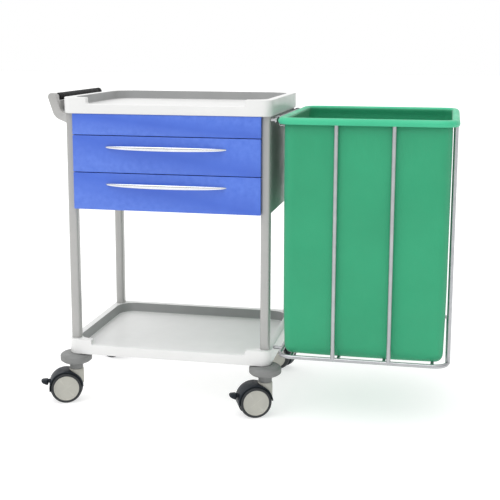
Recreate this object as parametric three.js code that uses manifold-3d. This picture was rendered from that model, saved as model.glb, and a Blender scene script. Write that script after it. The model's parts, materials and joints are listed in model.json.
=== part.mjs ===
// A ward medication cart: two moulded trays on four posts, a cabinet with two drawers, a push
// handle, four twin-wheel casters, and a wire basket with a lift-out bag hung on the right side.
//
// Units are millimetres. Inside the cart group X runs right from the trays' left edge, Y runs
// back from their front edge and Z runs up from the floor. The group is then moved so that the
// origin is at the middle of the whole object's footprint.
import * as THREE from 'three';
import { mergeVertices } from 'three/addons/utils/BufferGeometryUtils.js';
import Module from 'manifold-3d';

const wasm = await Module();
wasm.setup();

// ---------------------------------------------------------------- driving dimensions
const GAP = 0.3;                      // left between pieces that touch

// trays
const CART_WIDTH = 625;
const CART_DEPTH = 470;
const TRAY_CORNER = 28;               // radius of the outer corners
const RIM_WIDTH = 22;
const RECESS_CORNER = 50;             // large, so that a solid pad is left under each post
const TRAY_FLOOR = 4;
const LIP_END = 74;                   // the lowered front lip stops this far from each side
const LIP_ROUND = 8;
const UPPER_TRAY = { bottom: 886, floor: 905, lip: 913.5, rim: 933 };
const LOWER_TRAY = { bottom: 154, floor: 168, lip: 184, rim: 199.5 };

// posts
const POST_SIZE = 28;
const POST_ROUND = 8;
const POST_X = 5;                     // outer face to the tray's side edge
const POST_Y = 15.5;                  // front face to the tray's front edge

// cabinet and drawers
const FRONT_X = 30;
const FRONT_Y = 3;
const FRONT_THICK = 12;
const SEAMS = [823, 713];             // between the fascia and the two drawers
const SEAM_WIDTH = 2;
const CABINET_BOTTOM = 602.5;
const SIDE_THICK = 12;
const SIDE_X = 8;
const BACK_THICK = 12;
const BACK_GAP = 4;                   // the back panel stands in from the rear posts' back faces by this
const FLOOR_THICK = 3;
const DRAWER_LENGTH = 390;
const DRAWER_HEIGHT = 76;
const DRAWER_WALL = 3;
const DRAWER_RISE = 16;               // box bottom above the bottom edge of its front
const SLIDE_LENGTH = 370;
const SLIDE_OUTER_HALF = 22;
const SLIDE_INNER_HALF = 15.7;
const SLIDE_LIP = 6;
const SLIDE_WEB = 13;                 // carries the drawer clear of the posts
const SLIDE_OUTER_DEPTH = 17;
const SLIDE_INNER_DEPTH = 11;
const BOW_LENGTH = 364;
const BOW_REACH = 30;
const BOW_THICK = 7;
const BOW_HALF_HEIGHT = 6.5;
const BOW_END_HALF_HEIGHT = 3;
const BOW_DROP = 33;                  // below the top edge of the drawer front

// push handle: curves of the arm and of the guard below the grip, as [x, z] control points
const ARM_WIDTH = 22;
const GRIP_X = -37;
const GRIP_Z = 931;
const GRIP_RADIUS = 11.5;
const GRIP_Y = [54.3, 415.7];
const BOSS_RADIUS = 9;
const ARM_FOOT = { low: 857, high: 885.4 };
const ARM_UNDER = [[-14, 865], [-32, 872], [-37, 891]];
const ARM_END = [[-50, 930], [-50, 943.5], [-38, 944], [-27, 944], [-25, 937]];
const ARM_INSIDE = [[-15, 904], [-9, 886], [1, 885.4]];
const SADDLE_TOP = 925;               // the rear arm stops here, round the underside of the grip
const SADDLE_SET_BACK = 2;            // from the rear end of the grip
const GUARD_FOOT = { low: 861, high: 864.5 };
const GUARD_OUTSIDE = [[-13, 868], [-29, 874.5], [-33.5, 892], [-42.2, 917.8]];
const GUARD_INSIDE = [[-39.2, 918.6], [-30.6, 893], [-26.5, 878], [-12, 871.5]];

// casters
const CASTER_X = 17;
const CASTER_Y = 22;
const CASTER_TRAIL = 32.5;
const CASTER_TURN_FRONT = 22;         // degrees about Z at rest
const CASTER_TURN_BACK = -20;
const WHEEL_RADIUS = 47.5;
const WHEEL_HALF = 32;                // half of the twin wheel's overall width
const WHEEL_INNER = 10;
const AXLE_RADIUS = 5;
const HOOD_RADIUS = 50.5;
const HOOD_HALF = 9.6;
const HOOD_BOTTOM = 18;
const NECK_RADIUS = 20;
const NECK_BOTTOM = 103;
const CONE_BOTTOM = 117;
const BUMPER_SKIRT = { radius: 41, z: 125.5 };
const BUMPER_RADIUS = 48;
const BUMPER_BAND = [131, 146];
const BUMPER_CROWN = { radius: 42, z: 151 };
const BUMPER_SEAT = { radius: 24, z: 152.4 };
const STEM_RADIUS = 22;
const STEM_BOTTOM = 55;
const PEDAL_Z = 65;
const PEDAL_ROOT = 82.8;              // clear of the hood, so that the pedal can turn
const PEDAL_NECK = 90;                // where it has its full width and depth
const PEDAL_TIP = 108;
const PEDAL_HALF = 13;
const PEDAL_ROOT_HALF = 7;
const PEDAL_ROOT_THICK = 8;
const PEDAL_RISE = 7;                 // highest point above the hinge line
const PEDAL_DROP = 13;                // lowest point below it

// hanger rail, basket and bag
const RAIL = { x0: 632, x1: 638, z0: 871, z1: 882.5 };
const RAIL_FOOT_INSET = 2;            // the rail's feet are lower than the rail by this, top and bottom
const HOOK_STRAP = 3;
const HOOK_HALF = 9;
const HOOK_Y = [52, 418];
const HOOK_OVER = 886;                // top of the strap over the rail
const HOOK_UNDER = 858;               // bottom of the strap below the bag's hem
const HOOK_TIP = 866;
const HOOK_SLACK = { outside: 1.5, inside: 1 };
const HOOK_WELD = 3;                  // below the top ring's centre line
const WIRE_RADIUS = 6;
const BASKET = { x0: 656, x1: 1134, y0: -34, y1: 504, corner: 38, top: 877, base: 201 };
const FRONT_WIRES = [813, 971];
const RIGHT_WIRES = [4, 157, 313, 466];
const CROSS_WIRES = [692, 827, 957, 1092];
const CROSS_DROP = 2;                 // cross wires' centre line below the base ring's
const STUB_Y = 46;
const STUB_GAP = 1.5;                 // from the stubs' ends to the lower tray
const HEM_OUTER = 11;
const HEM_INNER = 6.8;
const HEM_DROP = 9;
const BAG_WALL = 3;
const BAG_BOTTOM = 206;
const BAG_ROUND = 28;                 // radius between the walls and the bottom

const FRONT_TURN = THREE.MathUtils.degToRad(CASTER_TURN_FRONT);
const PEDAL_END_X = CASTER_X - (PEDAL_TIP - PEDAL_HALF) * Math.cos(FRONT_TURN) - PEDAL_HALF;
const CENTRE_X = (PEDAL_END_X + BASKET.x1 + HEM_OUTER) / 2;
const CENTRE_Y = (BASKET.y0 + BASKET.y1) / 2;

// ---------------------------------------------------------------- materials
const LOOKS = {
  white: { color: 0xe9e9e7, roughness: 0.4, metalness: 0 },
  post: { color: 0xc4c4c2, roughness: 0.35, metalness: 0.4 },
  cabinet: { color: 0xcfd0d0, roughness: 0.4, metalness: 0.1 },
  blue: { color: 0x4f7fe6, roughness: 0.4, metalness: 0 },
  steel: { color: 0xd4d6d8, roughness: 0.25, metalness: 1 },
  zinc: { color: 0xa9adb2, roughness: 0.4, metalness: 0.9 },
  black: { color: 0x1e2124, roughness: 0.55, metalness: 0 },
  grey: { color: 0x7b7d7c, roughness: 0.55, metalness: 0 },
  warmGrey: { color: 0xb4b3aa, roughness: 0.5, metalness: 0 },
  green: { color: 0x35a875, roughness: 0.6, metalness: 0 },
};

// ---------------------------------------------------------------- geometry helpers
function signedVolume(geometry) {
  const points = geometry.attributes.position;
  const order = geometry.index.array;
  const [a, b, c] = [new THREE.Vector3(), new THREE.Vector3(), new THREE.Vector3()];
  let volume = 0;
  for (let i = 0; i < order.length; i += 3) {
    a.fromBufferAttribute(points, order[i]);
    b.fromBufferAttribute(points, order[i + 1]);
    c.fromBufferAttribute(points, order[i + 2]);
    volume += a.dot(b.cross(c)) / 6;
  }
  return volume;
}

// Keeps only position, shares equal vertices, drops empty triangles and faces them outwards.
function closedMesh(geometry) {
  const bare = geometry.clone();
  for (const name of ['normal', 'uv']) bare.deleteAttribute(name);
  const merged = mergeVertices(bare, 1e-4);
  const kept = [];
  for (let i = 0; i < merged.index.count; i += 3) {
    const [a, b, c] = [0, 1, 2].map((k) => merged.index.getX(i + k));
    if (a !== b && b !== c && c !== a) kept.push(a, b, c);
  }
  merged.setIndex(kept);
  if (signedVolume(merged) < 0) merged.setIndex(kept.reverse());
  return merged;
}

function toSolid(geometry) {
  const mesh = closedMesh(geometry);
  return new wasm.Manifold(new wasm.Mesh({
    numProp: 3,
    vertProperties: new Float32Array(mesh.attributes.position.array),
    triVerts: new Uint32Array(mesh.index.array),
  }));
}

function toGeometry(solid) {
  const mesh = solid.getMesh();
  const geometry = new THREE.BufferGeometry();
  geometry.setAttribute('position', new THREE.BufferAttribute(mesh.vertProperties, 3));
  geometry.setIndex(new THREE.BufferAttribute(mesh.triVerts, 1));
  geometry.computeVertexNormals();
  return geometry;
}

function cut(geometry, ...tools) {
  return toGeometry(tools.reduce((solid, tool) => solid.subtract(toSolid(tool)), toSolid(geometry)));
}

function join(...geometries) {
  return toGeometry(geometries.map(toSolid).reduce((solid, next) => solid.add(next)));
}

function common(first, second) {
  return toGeometry(toSolid(first).intersect(toSolid(second)));
}

function box(x0, x1, y0, y1, z0, z1) {
  const geometry = new THREE.BoxGeometry(x1 - x0, y1 - y0, z1 - z0);
  return geometry.translate((x0 + x1) / 2, (y0 + y1) / 2, (z0 + z1) / 2);
}

function roundedRect(x0, y0, x1, y1, radius) {
  const quarter = Math.PI / 2;
  const outline = new THREE.Shape();
  outline.absarc(x1 - radius, y0 + radius, radius, -quarter, 0);
  outline.absarc(x1 - radius, y1 - radius, radius, 0, quarter);
  outline.absarc(x0 + radius, y1 - radius, radius, quarter, 2 * quarter);
  outline.absarc(x0 + radius, y0 + radius, radius, 2 * quarter, 3 * quarter);
  outline.closePath();
  return outline;
}

function polygon(...corners) {
  return new THREE.Shape(corners.map(([x, y]) => new THREE.Vector2(x, y)));
}

// An outline in the XY plane, raised from z0 to z1.
function prism(outline, z0, z1, curveSegments = 4) {
  const depth = z1 - z0;
  return new THREE.ExtrudeGeometry(outline, { depth, curveSegments, bevelEnabled: false })
    .translate(0, 0, z0);
}

// An outline in the XZ plane, stretched from y0 to y1.
function slab(outline, y0, y1, curveSegments = 6) {
  return prism(outline, 0, y1 - y0, curveSegments).rotateX(Math.PI / 2).translate(0, y1, 0);
}

// A profile of [radius, height] points turned about the Z axis.
function turned(profile, segments) {
  const points = profile.map(([radius, height]) => new THREE.Vector2(radius, height));
  return new THREE.LatheGeometry(points, segments).rotateX(Math.PI / 2);
}

function rodAlongZ(x, y, z0, z1, radius, segments = 10) {
  return new THREE.CylinderGeometry(radius, radius, z1 - z0, segments)
    .rotateX(Math.PI / 2).translate(x, y, (z0 + z1) / 2);
}

function rodAlongY(x, z, y0, y1, radius, segments = 10) {
  return new THREE.CylinderGeometry(radius, radius, y1 - y0, segments)
    .translate(x, (y0 + y1) / 2, z);
}

function rodAlongX(y, z, x0, x1, radius, segments = 10) {
  return new THREE.CylinderGeometry(radius, radius, x1 - x0, segments)
    .rotateZ(Math.PI / 2).translate((x0 + x1) / 2, y, z);
}

// A closed section of [outward, up] points carried round the basket's rounded rectangle.
function ringAround(section, height, cornerSegments = 4) {
  const { x0, x1, y0, y1, corner } = BASKET;
  const route = [];
  const centres = [[x1 - corner, y0 + corner], [x1 - corner, y1 - corner],
    [x0 + corner, y1 - corner], [x0 + corner, y0 + corner]];
  centres.forEach(([x, y], turn) => {
    for (let step = 0; step <= cornerSegments; step += 1) {
      const angle = (turn - 1 + step / cornerSegments) * Math.PI / 2;
      route.push({ x, y, angle });
    }
  });
  const positions = [];
  for (const { x, y, angle } of route) {
    for (const [outward, up] of section) {
      const reach = corner + outward;
      positions.push(x + reach * Math.cos(angle), y + reach * Math.sin(angle), height + up);
    }
  }
  const order = [];
  const width = section.length;
  for (let i = 0; i < route.length; i += 1) {
    for (let j = 0; j < width; j += 1) {
      const here = i * width;
      const next = ((i + 1) % route.length) * width;
      const k = (j + 1) % width;
      order.push(here + j, next + j, next + k, here + j, next + k, here + k);
    }
  }
  const geometry = new THREE.BufferGeometry();
  geometry.setAttribute('position', new THREE.Float32BufferAttribute(positions, 3));
  geometry.setIndex(order);
  return closedMesh(geometry);
}

function arcPoints(radius, from, to, steps) {
  return Array.from({ length: steps + 1 }, (_, i) => {
    const angle = THREE.MathUtils.degToRad(from + (to - from) * i / steps);
    return [radius * Math.cos(angle), radius * Math.sin(angle)];
  });
}

// ---------------------------------------------------------------- the cart
const cart = new THREE.Group();
cart.position.set(-CENTRE_X, -CENTRE_Y, 0);

function addPiece(name, look, geometry, parent = cart) {
  const mesh = new THREE.Mesh(geometry, new THREE.MeshStandardMaterial(LOOKS[look]));
  mesh.name = name;
  parent.add(mesh);
}

const mirrorX = (x) => CART_WIDTH - x;
const mirrorY = (y) => CART_DEPTH - y;
const POST_RIGHT = POST_X + POST_SIZE;
const POST_REAR = POST_Y + POST_SIZE;

// ---- trays
function makeTray({ bottom, floor, lip, rim }) {
  const outline = roundedRect(0, 0, CART_WIDTH, CART_DEPTH, TRAY_CORNER);
  const inner = roundedRect(RIM_WIDTH, RIM_WIDTH, mirrorX(RIM_WIDTH), mirrorY(RIM_WIDTH), RECESS_CORNER);
  const lipCut = roundedRect(LIP_END, lip, mirrorX(LIP_END), rim + 2 * LIP_ROUND, LIP_ROUND);
  return cut(
    prism(outline, bottom, rim, 5),
    prism(inner, floor, rim + 1, 5),
    prism(inner, bottom - 1, floor - TRAY_FLOOR, 5),
    slab(lipCut, -1, RIM_WIDTH + 1, 3),
  );
}
addPiece('upper_tray', 'white', makeTray(UPPER_TRAY));
addPiece('lower_tray', 'white', makeTray(LOWER_TRAY));

// ---- posts
for (const [side, x] of [['left', POST_X], ['right', mirrorX(POST_RIGHT)]]) {
  for (const [end, y] of [['front', POST_Y], ['back', mirrorY(POST_REAR)]]) {
    const section = roundedRect(x, y, x + POST_SIZE, y + POST_SIZE, POST_ROUND);
    const post = prism(section, LOWER_TRAY.rim + GAP, UPPER_TRAY.bottom - GAP, 3);
    addPiece(`post_${end}_${side}`, 'post', post);
  }
}

// ---- cabinet shell
const CABINET_TOP = UPPER_TRAY.bottom - GAP;
const SIDE_INNER = SIDE_X + SIDE_THICK;
const BACK_Y = mirrorY(POST_Y) - BACK_GAP - BACK_THICK;
for (const [side, x] of [['left', SIDE_X], ['right', mirrorX(SIDE_INNER)]]) {
  addPiece(`cabinet_side_${side}`, 'cabinet', box(x, x + SIDE_THICK,
    POST_REAR + GAP, mirrorY(POST_REAR) - GAP, CABINET_BOTTOM, CABINET_TOP));
}
addPiece('cabinet_back', 'cabinet', box(POST_RIGHT + GAP, mirrorX(POST_RIGHT) - GAP,
  BACK_Y, BACK_Y + BACK_THICK, CABINET_BOTTOM, CABINET_TOP));

const FLOOR_TOP = CABINET_BOTTOM + FLOOR_THICK;
addPiece('cabinet_floor', 'cabinet', join(
  box(POST_RIGHT + GAP, mirrorX(POST_RIGHT) - GAP, POST_Y + 1, BACK_Y - GAP, CABINET_BOTTOM, FLOOR_TOP),
  box(SIDE_INNER + GAP, mirrorX(SIDE_INNER) - GAP, POST_REAR + GAP, mirrorY(POST_REAR) - GAP,
    CABINET_BOTTOM, FLOOR_TOP),
));

const frontPanel = (z0, z1) => box(FRONT_X, mirrorX(FRONT_X), FRONT_Y, FRONT_Y + FRONT_THICK, z0, z1);
addPiece('fascia_panel', 'blue', frontPanel(SEAMS[0] + SEAM_WIDTH / 2, CABINET_TOP));

// ---- drawers and their slides
const BOX_X = SIDE_INNER + GAP + SLIDE_WEB + GAP + SLIDE_INNER_DEPTH + GAP;
const SLIDE_Y = POST_REAR + GAP;

function makeOuterSlide(z, mirrored) {
  const foot = SIDE_INNER + GAP;
  const web = foot + SLIDE_WEB;
  const tip = foot + SLIDE_OUTER_DEPTH;
  const [low, high] = [z - SLIDE_OUTER_HALF, z + SLIDE_OUTER_HALF];
  const corners = [[foot, low], [tip, low], [tip, low + SLIDE_LIP], [web, low + SLIDE_LIP],
    [web, high - SLIDE_LIP], [tip, high - SLIDE_LIP], [tip, high], [foot, high]];
  const section = corners.map(([x, height]) => [mirrored ? mirrorX(x) : x, height]);
  return closedMesh(slab(polygon(...section), SLIDE_Y, SLIDE_Y + SLIDE_LENGTH));
}

function makeInnerSlide(z, mirrored) {
  const x0 = SIDE_INNER + SLIDE_WEB + 2 * GAP;
  const near = mirrored ? mirrorX(x0 + SLIDE_INNER_DEPTH) : x0;
  const front = POST_Y + GAP;
  return box(near, near + SLIDE_INNER_DEPTH, front, front + SLIDE_LENGTH,
    z - SLIDE_INNER_HALF, z + SLIDE_INNER_HALF);
}

function makeDrawerBox(z0) {
  const front = FRONT_Y + FRONT_THICK + GAP;
  const [x0, x1] = [BOX_X, mirrorX(BOX_X)];
  return cut(
    box(x0, x1, front, front + DRAWER_LENGTH, z0, z0 + DRAWER_HEIGHT),
    box(x0 + DRAWER_WALL, x1 - DRAWER_WALL, front + DRAWER_WALL, front + DRAWER_LENGTH - DRAWER_WALL,
      z0 + DRAWER_WALL, z0 + DRAWER_HEIGHT + 1),
  );
}

// A bow that stands off the drawer front, deepest and tallest in the middle.
function makeBow(z) {
  const face = FRONT_Y - GAP;
  const middle = CART_WIDTH / 2;
  const [left, right] = [middle - BOW_LENGTH / 2, middle + BOW_LENGTH / 2];
  const plan = new THREE.Shape();
  plan.moveTo(left, face);
  plan.bezierCurveTo(left + 30, face - 1.2 * BOW_REACH, right - 30, face - 1.2 * BOW_REACH, right, face);
  plan.lineTo(right - 16, face);
  plan.bezierCurveTo(right - 50, face - 1.2 * (BOW_REACH - BOW_THICK),
    left + 50, face - 1.2 * (BOW_REACH - BOW_THICK), left + 16, face);
  const front = new THREE.Shape();
  const bulge = 2 * BOW_HALF_HEIGHT - BOW_END_HALF_HEIGHT;
  front.moveTo(left - 1, z - BOW_END_HALF_HEIGHT);
  front.quadraticCurveTo(middle, z - bulge, right + 1, z - BOW_END_HALF_HEIGHT);
  front.lineTo(right + 1, z + BOW_END_HALF_HEIGHT);
  front.quadraticCurveTo(middle, z + bulge, left - 1, z + BOW_END_HALF_HEIGHT);
  return common(
    prism(plan, z - 2 * BOW_HALF_HEIGHT, z + 2 * BOW_HALF_HEIGHT, 14),
    slab(front, face - 2 * BOW_REACH, face + 1, 8),
  );
}

const DRAWERS = [
  { name: 'upper', z0: SEAMS[1] + SEAM_WIDTH / 2, z1: SEAMS[0] - SEAM_WIDTH / 2 },
  { name: 'lower', z0: CABINET_BOTTOM, z1: SEAMS[1] - SEAM_WIDTH / 2 },
];
for (const { name, z0, z1 } of DRAWERS) {
  const middle = z0 + DRAWER_RISE + DRAWER_HEIGHT / 2;
  addPiece(`drawer_front_${name}`, 'blue', frontPanel(z0, z1));
  addPiece(`drawer_box_${name}`, 'cabinet', makeDrawerBox(z0 + DRAWER_RISE));
  addPiece(`drawer_handle_${name}`, 'steel', makeBow(z1 - BOW_DROP));
  for (const side of ['left', 'right']) {
    addPiece(`slide_outer_${name}_${side}`, 'zinc', makeOuterSlide(middle, side === 'right'));
    addPiece(`slide_inner_${name}_${side}`, 'zinc', makeInnerSlide(middle, side === 'right'));
  }
}

// ---- push handle on the left side
function curvedOutline(start, ...steps) {
  const outline = new THREE.Shape();
  outline.moveTo(...start);
  for (const points of steps) {
    if (points.length === 1) outline.lineTo(...points[0]);
    else outline.quadraticCurveTo(...points[0], ...points[1]);
  }
  return outline;
}

function armProfile(foot) {
  const [under, end, inside] = [ARM_UNDER, ARM_END, ARM_INSIDE];
  return curvedOutline([foot, ARM_FOOT.low], [under[0]], under.slice(1), [end[0]], end.slice(1, 3),
    end.slice(3), [inside[0]], inside.slice(1), [[foot, ARM_FOOT.high]]);
}

const ARM_Y = POST_Y + 2;
const ARM_INNER = ARM_Y + ARM_WIDTH;
addPiece('handle_arm_front', 'post', join(
  slab(armProfile(POST_X - GAP), ARM_Y, ARM_INNER),
  rodAlongY(GRIP_X, GRIP_Z, ARM_INNER - 2, GRIP_Y[0] - GAP, BOSS_RADIUS, 16),
));
addPiece('handle_grip', 'black', rodAlongY(GRIP_X, GRIP_Z, ...GRIP_Y, GRIP_RADIUS, 24));

// the rear arm holds the grip from below, and stands against the cabinet's side
const SADDLE_Y = GRIP_Y[1] - SADDLE_SET_BACK - ARM_WIDTH;
addPiece('handle_arm_back', 'post', cut(
  slab(armProfile(SIDE_X - GAP), SADDLE_Y, SADDLE_Y + ARM_WIDTH),
  rodAlongY(GRIP_X, GRIP_Z, ...GRIP_Y, GRIP_RADIUS + GAP, 24),
  box(2 * GRIP_X, 0, ...GRIP_Y, SADDLE_TOP, 2 * SADDLE_TOP),
));

// a thin guard that closes the space between the arms below the grip
const guardFoot = POST_X - GAP;
const guard = curvedOutline([guardFoot, GUARD_FOOT.low], [GUARD_OUTSIDE[0]], GUARD_OUTSIDE.slice(1, 3),
  [GUARD_OUTSIDE[3]], [GUARD_INSIDE[0]], [GUARD_INSIDE[1]], GUARD_INSIDE.slice(2),
  [[guardFoot, GUARD_FOOT.high]]);
addPiece('handle_guard', 'post', slab(guard, ARM_INNER + GAP, SADDLE_Y - GAP));

// ---- casters
function makeBumper() {
  const top = LOWER_TRAY.bottom - GAP;
  const [skirt, crown, seat] = [BUMPER_SKIRT, BUMPER_CROWN, BUMPER_SEAT];
  return turned([[0, NECK_BOTTOM], [NECK_RADIUS, NECK_BOTTOM], [NECK_RADIUS, CONE_BOTTOM],
    [skirt.radius, skirt.z], [BUMPER_RADIUS, BUMPER_BAND[0]], [BUMPER_RADIUS, BUMPER_BAND[1]],
    [crown.radius, crown.z], [seat.radius, seat.z], [seat.radius, top], [0, top]], 28);
}

// The stem housing is hollowed to the hood's round, so that it wraps the wheels from ahead.
function makeFork() {
  return cut(
    rodAlongZ(0, 0, STEM_BOTTOM, NECK_BOTTOM - GAP, STEM_RADIUS, 24),
    rodAlongY(-CASTER_TRAIL, WHEEL_RADIUS, -2 * STEM_RADIUS, 2 * STEM_RADIUS, HOOD_RADIUS + GAP, 48),
  );
}

function makeHood() {
  const far = 2 * HOOD_RADIUS;
  return cut(
    rodAlongY(-CASTER_TRAIL, WHEEL_RADIUS, -HOOD_HALF, HOOD_HALF, HOOD_RADIUS, 48),
    box(-CASTER_TRAIL - far, far, -far, far, -far, HOOD_BOTTOM),
    rodAlongY(-CASTER_TRAIL, WHEEL_RADIUS, -far, far, AXLE_RADIUS + 0.4, 16),
  );
}

function makeTwinWheel() {
  const half = [[AXLE_RADIUS, WHEEL_INNER], [WHEEL_RADIUS - 3, WHEEL_INNER],
    [WHEEL_RADIUS, WHEEL_INNER + 4], [WHEEL_RADIUS, WHEEL_HALF - 6],
    [WHEEL_RADIUS - 3, WHEEL_HALF - 2], [WHEEL_RADIUS - 8, WHEEL_HALF], [0, WHEEL_HALF]];
  const other = half.map(([radius, reach]) => [radius, -reach]).reverse();
  return turned([...other, ...half], 32).rotateX(Math.PI / 2).translate(-CASTER_TRAIL, 0, WHEEL_RADIUS);
}

// A pedal that hangs down beside the hood and is thickest next to it.
function makePedal() {
  const plan = new THREE.Shape();
  plan.moveTo(-PEDAL_ROOT, -PEDAL_ROOT_HALF);
  plan.lineTo(-PEDAL_ROOT, PEDAL_ROOT_HALF);
  plan.lineTo(-PEDAL_NECK, PEDAL_HALF);
  plan.absarc(-PEDAL_TIP + PEDAL_HALF, 0, PEDAL_HALF, Math.PI / 2, 3 * Math.PI / 2, false);
  plan.lineTo(-PEDAL_NECK, -PEDAL_HALF);
  const root = PEDAL_ROOT_THICK / 2;
  const [top, bottom] = [PEDAL_Z + PEDAL_RISE, PEDAL_Z - PEDAL_DROP];
  const side = polygon(
    [-PEDAL_ROOT, PEDAL_Z - root], [-PEDAL_NECK, bottom],
    [-PEDAL_TIP + PEDAL_RISE, bottom + PEDAL_RISE / 2], [-PEDAL_TIP - 1, PEDAL_Z],
    [-PEDAL_TIP + PEDAL_RISE, top], [-PEDAL_NECK, top], [-PEDAL_ROOT, PEDAL_Z + root],
  );
  return common(
    prism(plan, bottom - 1, top + 1, 8),
    slab(side, -2 * PEDAL_HALF, 2 * PEDAL_HALF),
  );
}

for (const [end, y, turn] of [['front', CASTER_Y, CASTER_TURN_FRONT],
  ['back', mirrorY(CASTER_Y), CASTER_TURN_BACK]]) {
  for (const [side, x] of [['left', CASTER_X], ['right', mirrorX(CASTER_X)]]) {
    const caster = new THREE.Group();
    caster.position.set(x, y, 0);
    caster.rotation.z = THREE.MathUtils.degToRad(turn);
    cart.add(caster);
    addPiece(`caster_bumper_${end}_${side}`, 'grey', makeBumper(), caster);
    addPiece(`caster_fork_${end}_${side}`, 'warmGrey', makeFork(), caster);
    addPiece(`caster_hood_${end}_${side}`, 'black', makeHood(), caster);
    addPiece(`caster_wheel_${end}_${side}`, 'black', makeTwinWheel(), caster);
    if (end === 'front') addPiece(`brake_pedal_${end}_${side}`, 'black', makePedal(), caster);
  }
}

// ---- hanger rail on the two right posts
const railFoot = mirrorX(POST_X) + GAP;
addPiece('hanger_rail', 'steel', join(
  box(RAIL.x0, RAIL.x1, ARM_Y, mirrorY(ARM_Y), RAIL.z0, RAIL.z1),
  ...[ARM_Y, mirrorY(ARM_INNER)].map((y) => box(railFoot, RAIL.x0 + 1, y, y + ARM_WIDTH,
    RAIL.z0 + RAIL_FOOT_INSET, RAIL.z1 - RAIL_FOOT_INSET)),
));

// ---- basket
const wireSection = arcPoints(WIRE_RADIUS, 0, 315, 7);

// A strap that drops from the top ring, runs left, climbs over the rail and hangs behind it.
function makeHook(y) {
  const ringFace = BASKET.x0 + HOOK_STRAP / 2;
  const outerLeg = RAIL.x1 + HOOK_SLACK.outside;
  const innerLeg = RAIL.x0 - HOOK_SLACK.inside - HOOK_STRAP;
  const weld = BASKET.top - HOOK_WELD;
  const strap = polygon(
    [ringFace - HOOK_STRAP, weld], [ringFace - HOOK_STRAP, HOOK_UNDER + HOOK_STRAP],
    [outerLeg + HOOK_STRAP, HOOK_UNDER + HOOK_STRAP], [outerLeg + HOOK_STRAP, HOOK_OVER],
    [innerLeg, HOOK_OVER], [innerLeg, HOOK_TIP], [innerLeg + HOOK_STRAP, HOOK_TIP],
    [innerLeg + HOOK_STRAP, HOOK_OVER - HOOK_STRAP], [outerLeg, HOOK_OVER - HOOK_STRAP],
    [outerLeg, HOOK_UNDER], [ringFace, HOOK_UNDER], [ringFace, weld],
  );
  return slab(strap, y - HOOK_HALF, y + HOOK_HALF);
}
addPiece('basket_top_ring', 'steel', join(ringAround(wireSection, BASKET.top), ...HOOK_Y.map(makeHook)));

const stub = (y) => rodAlongX(y, BASKET.base, CART_WIDTH + STUB_GAP, BASKET.x0, WIRE_RADIUS - 1, 8);
const crossWire = (x) => rodAlongY(x, BASKET.base - CROSS_DROP, BASKET.y0, BASKET.y1, WIRE_RADIUS - 1, 8);
addPiece('basket_base', 'steel', join(
  ringAround(wireSection, BASKET.base),
  ...CROSS_WIRES.map(crossWire),
  ...[STUB_Y, mirrorY(STUB_Y)].map(stub),
));

const wireEnds = [BASKET.base + WIRE_RADIUS + GAP, BASKET.top - WIRE_RADIUS - GAP];
const WIRES = [
  ...FRONT_WIRES.map((x, i) => [`basket_wire_front_${i + 1}`, x, BASKET.y0]),
  ...FRONT_WIRES.map((x, i) => [`basket_wire_back_${i + 1}`, x, BASKET.y1]),
  ...RIGHT_WIRES.map((y, i) => [`basket_wire_right_${i + 1}`, BASKET.x1, y]),
];
for (const [name, x, y] of WIRES) addPiece(name, 'steel', rodAlongZ(x, y, ...wireEnds, WIRE_RADIUS, 10));

// ---- lift-out bag: a hem that hooks over the top ring, and a shell that hangs inside the wires
function bagBlock(inset, bottom) {
  const { x0, x1, y0, y1, corner, top } = BASKET;
  const round = BAG_ROUND - (inset - HEM_INNER);
  const shrink = inset + round;
  const outline = roundedRect(x0 + shrink, y0 + shrink, x1 - shrink, y1 - shrink,
    corner - HEM_INNER - BAG_ROUND + 1);
  return new THREE.ExtrudeGeometry(outline, {
    depth: top + 2 * BAG_ROUND - bottom,
    bevelSize: round,
    bevelThickness: round,
    bevelSegments: 4,
    curveSegments: 4,
  }).translate(0, 0, bottom + round);
}
const hemSection = [[HEM_OUTER, -HEM_DROP], ...arcPoints(HEM_OUTER, 0, 180, 8), [-HEM_OUTER, -HEM_DROP],
  [-HEM_INNER, -HEM_DROP], ...arcPoints(HEM_INNER, 180, 0, 6), [HEM_INNER, -HEM_DROP]];
addPiece('laundry_bag', 'green', join(
  cut(
    bagBlock(HEM_INNER, BAG_BOTTOM),
    bagBlock(HEM_INNER + BAG_WALL, BAG_BOTTOM + BAG_WALL),
    box(BASKET.x0, BASKET.x1, BASKET.y0, BASKET.y1, BASKET.top - 4, 2 * BASKET.top),
  ),
  ringAround(hemSection, BASKET.top),
));

export default cart;
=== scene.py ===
import json
import math

import bmesh
import bpy
import numpy as np
from mathutils import Matrix, Vector


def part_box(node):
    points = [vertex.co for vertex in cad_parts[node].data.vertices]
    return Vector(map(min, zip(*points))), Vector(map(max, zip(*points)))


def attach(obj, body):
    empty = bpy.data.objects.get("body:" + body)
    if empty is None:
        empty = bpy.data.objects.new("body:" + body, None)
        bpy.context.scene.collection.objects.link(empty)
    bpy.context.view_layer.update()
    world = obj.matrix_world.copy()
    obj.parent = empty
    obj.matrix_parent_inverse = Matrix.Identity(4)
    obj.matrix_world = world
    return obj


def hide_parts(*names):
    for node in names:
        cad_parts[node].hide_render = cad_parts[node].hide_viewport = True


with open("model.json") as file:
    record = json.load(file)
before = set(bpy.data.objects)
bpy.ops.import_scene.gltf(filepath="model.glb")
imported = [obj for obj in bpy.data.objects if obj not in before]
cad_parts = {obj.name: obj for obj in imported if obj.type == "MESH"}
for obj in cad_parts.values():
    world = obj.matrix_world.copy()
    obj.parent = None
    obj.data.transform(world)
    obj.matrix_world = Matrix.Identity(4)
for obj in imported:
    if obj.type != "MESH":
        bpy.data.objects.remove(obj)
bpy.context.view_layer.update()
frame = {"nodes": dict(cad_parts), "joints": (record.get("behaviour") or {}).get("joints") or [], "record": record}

MM = 0.001
RECORD = frame["record"]
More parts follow.
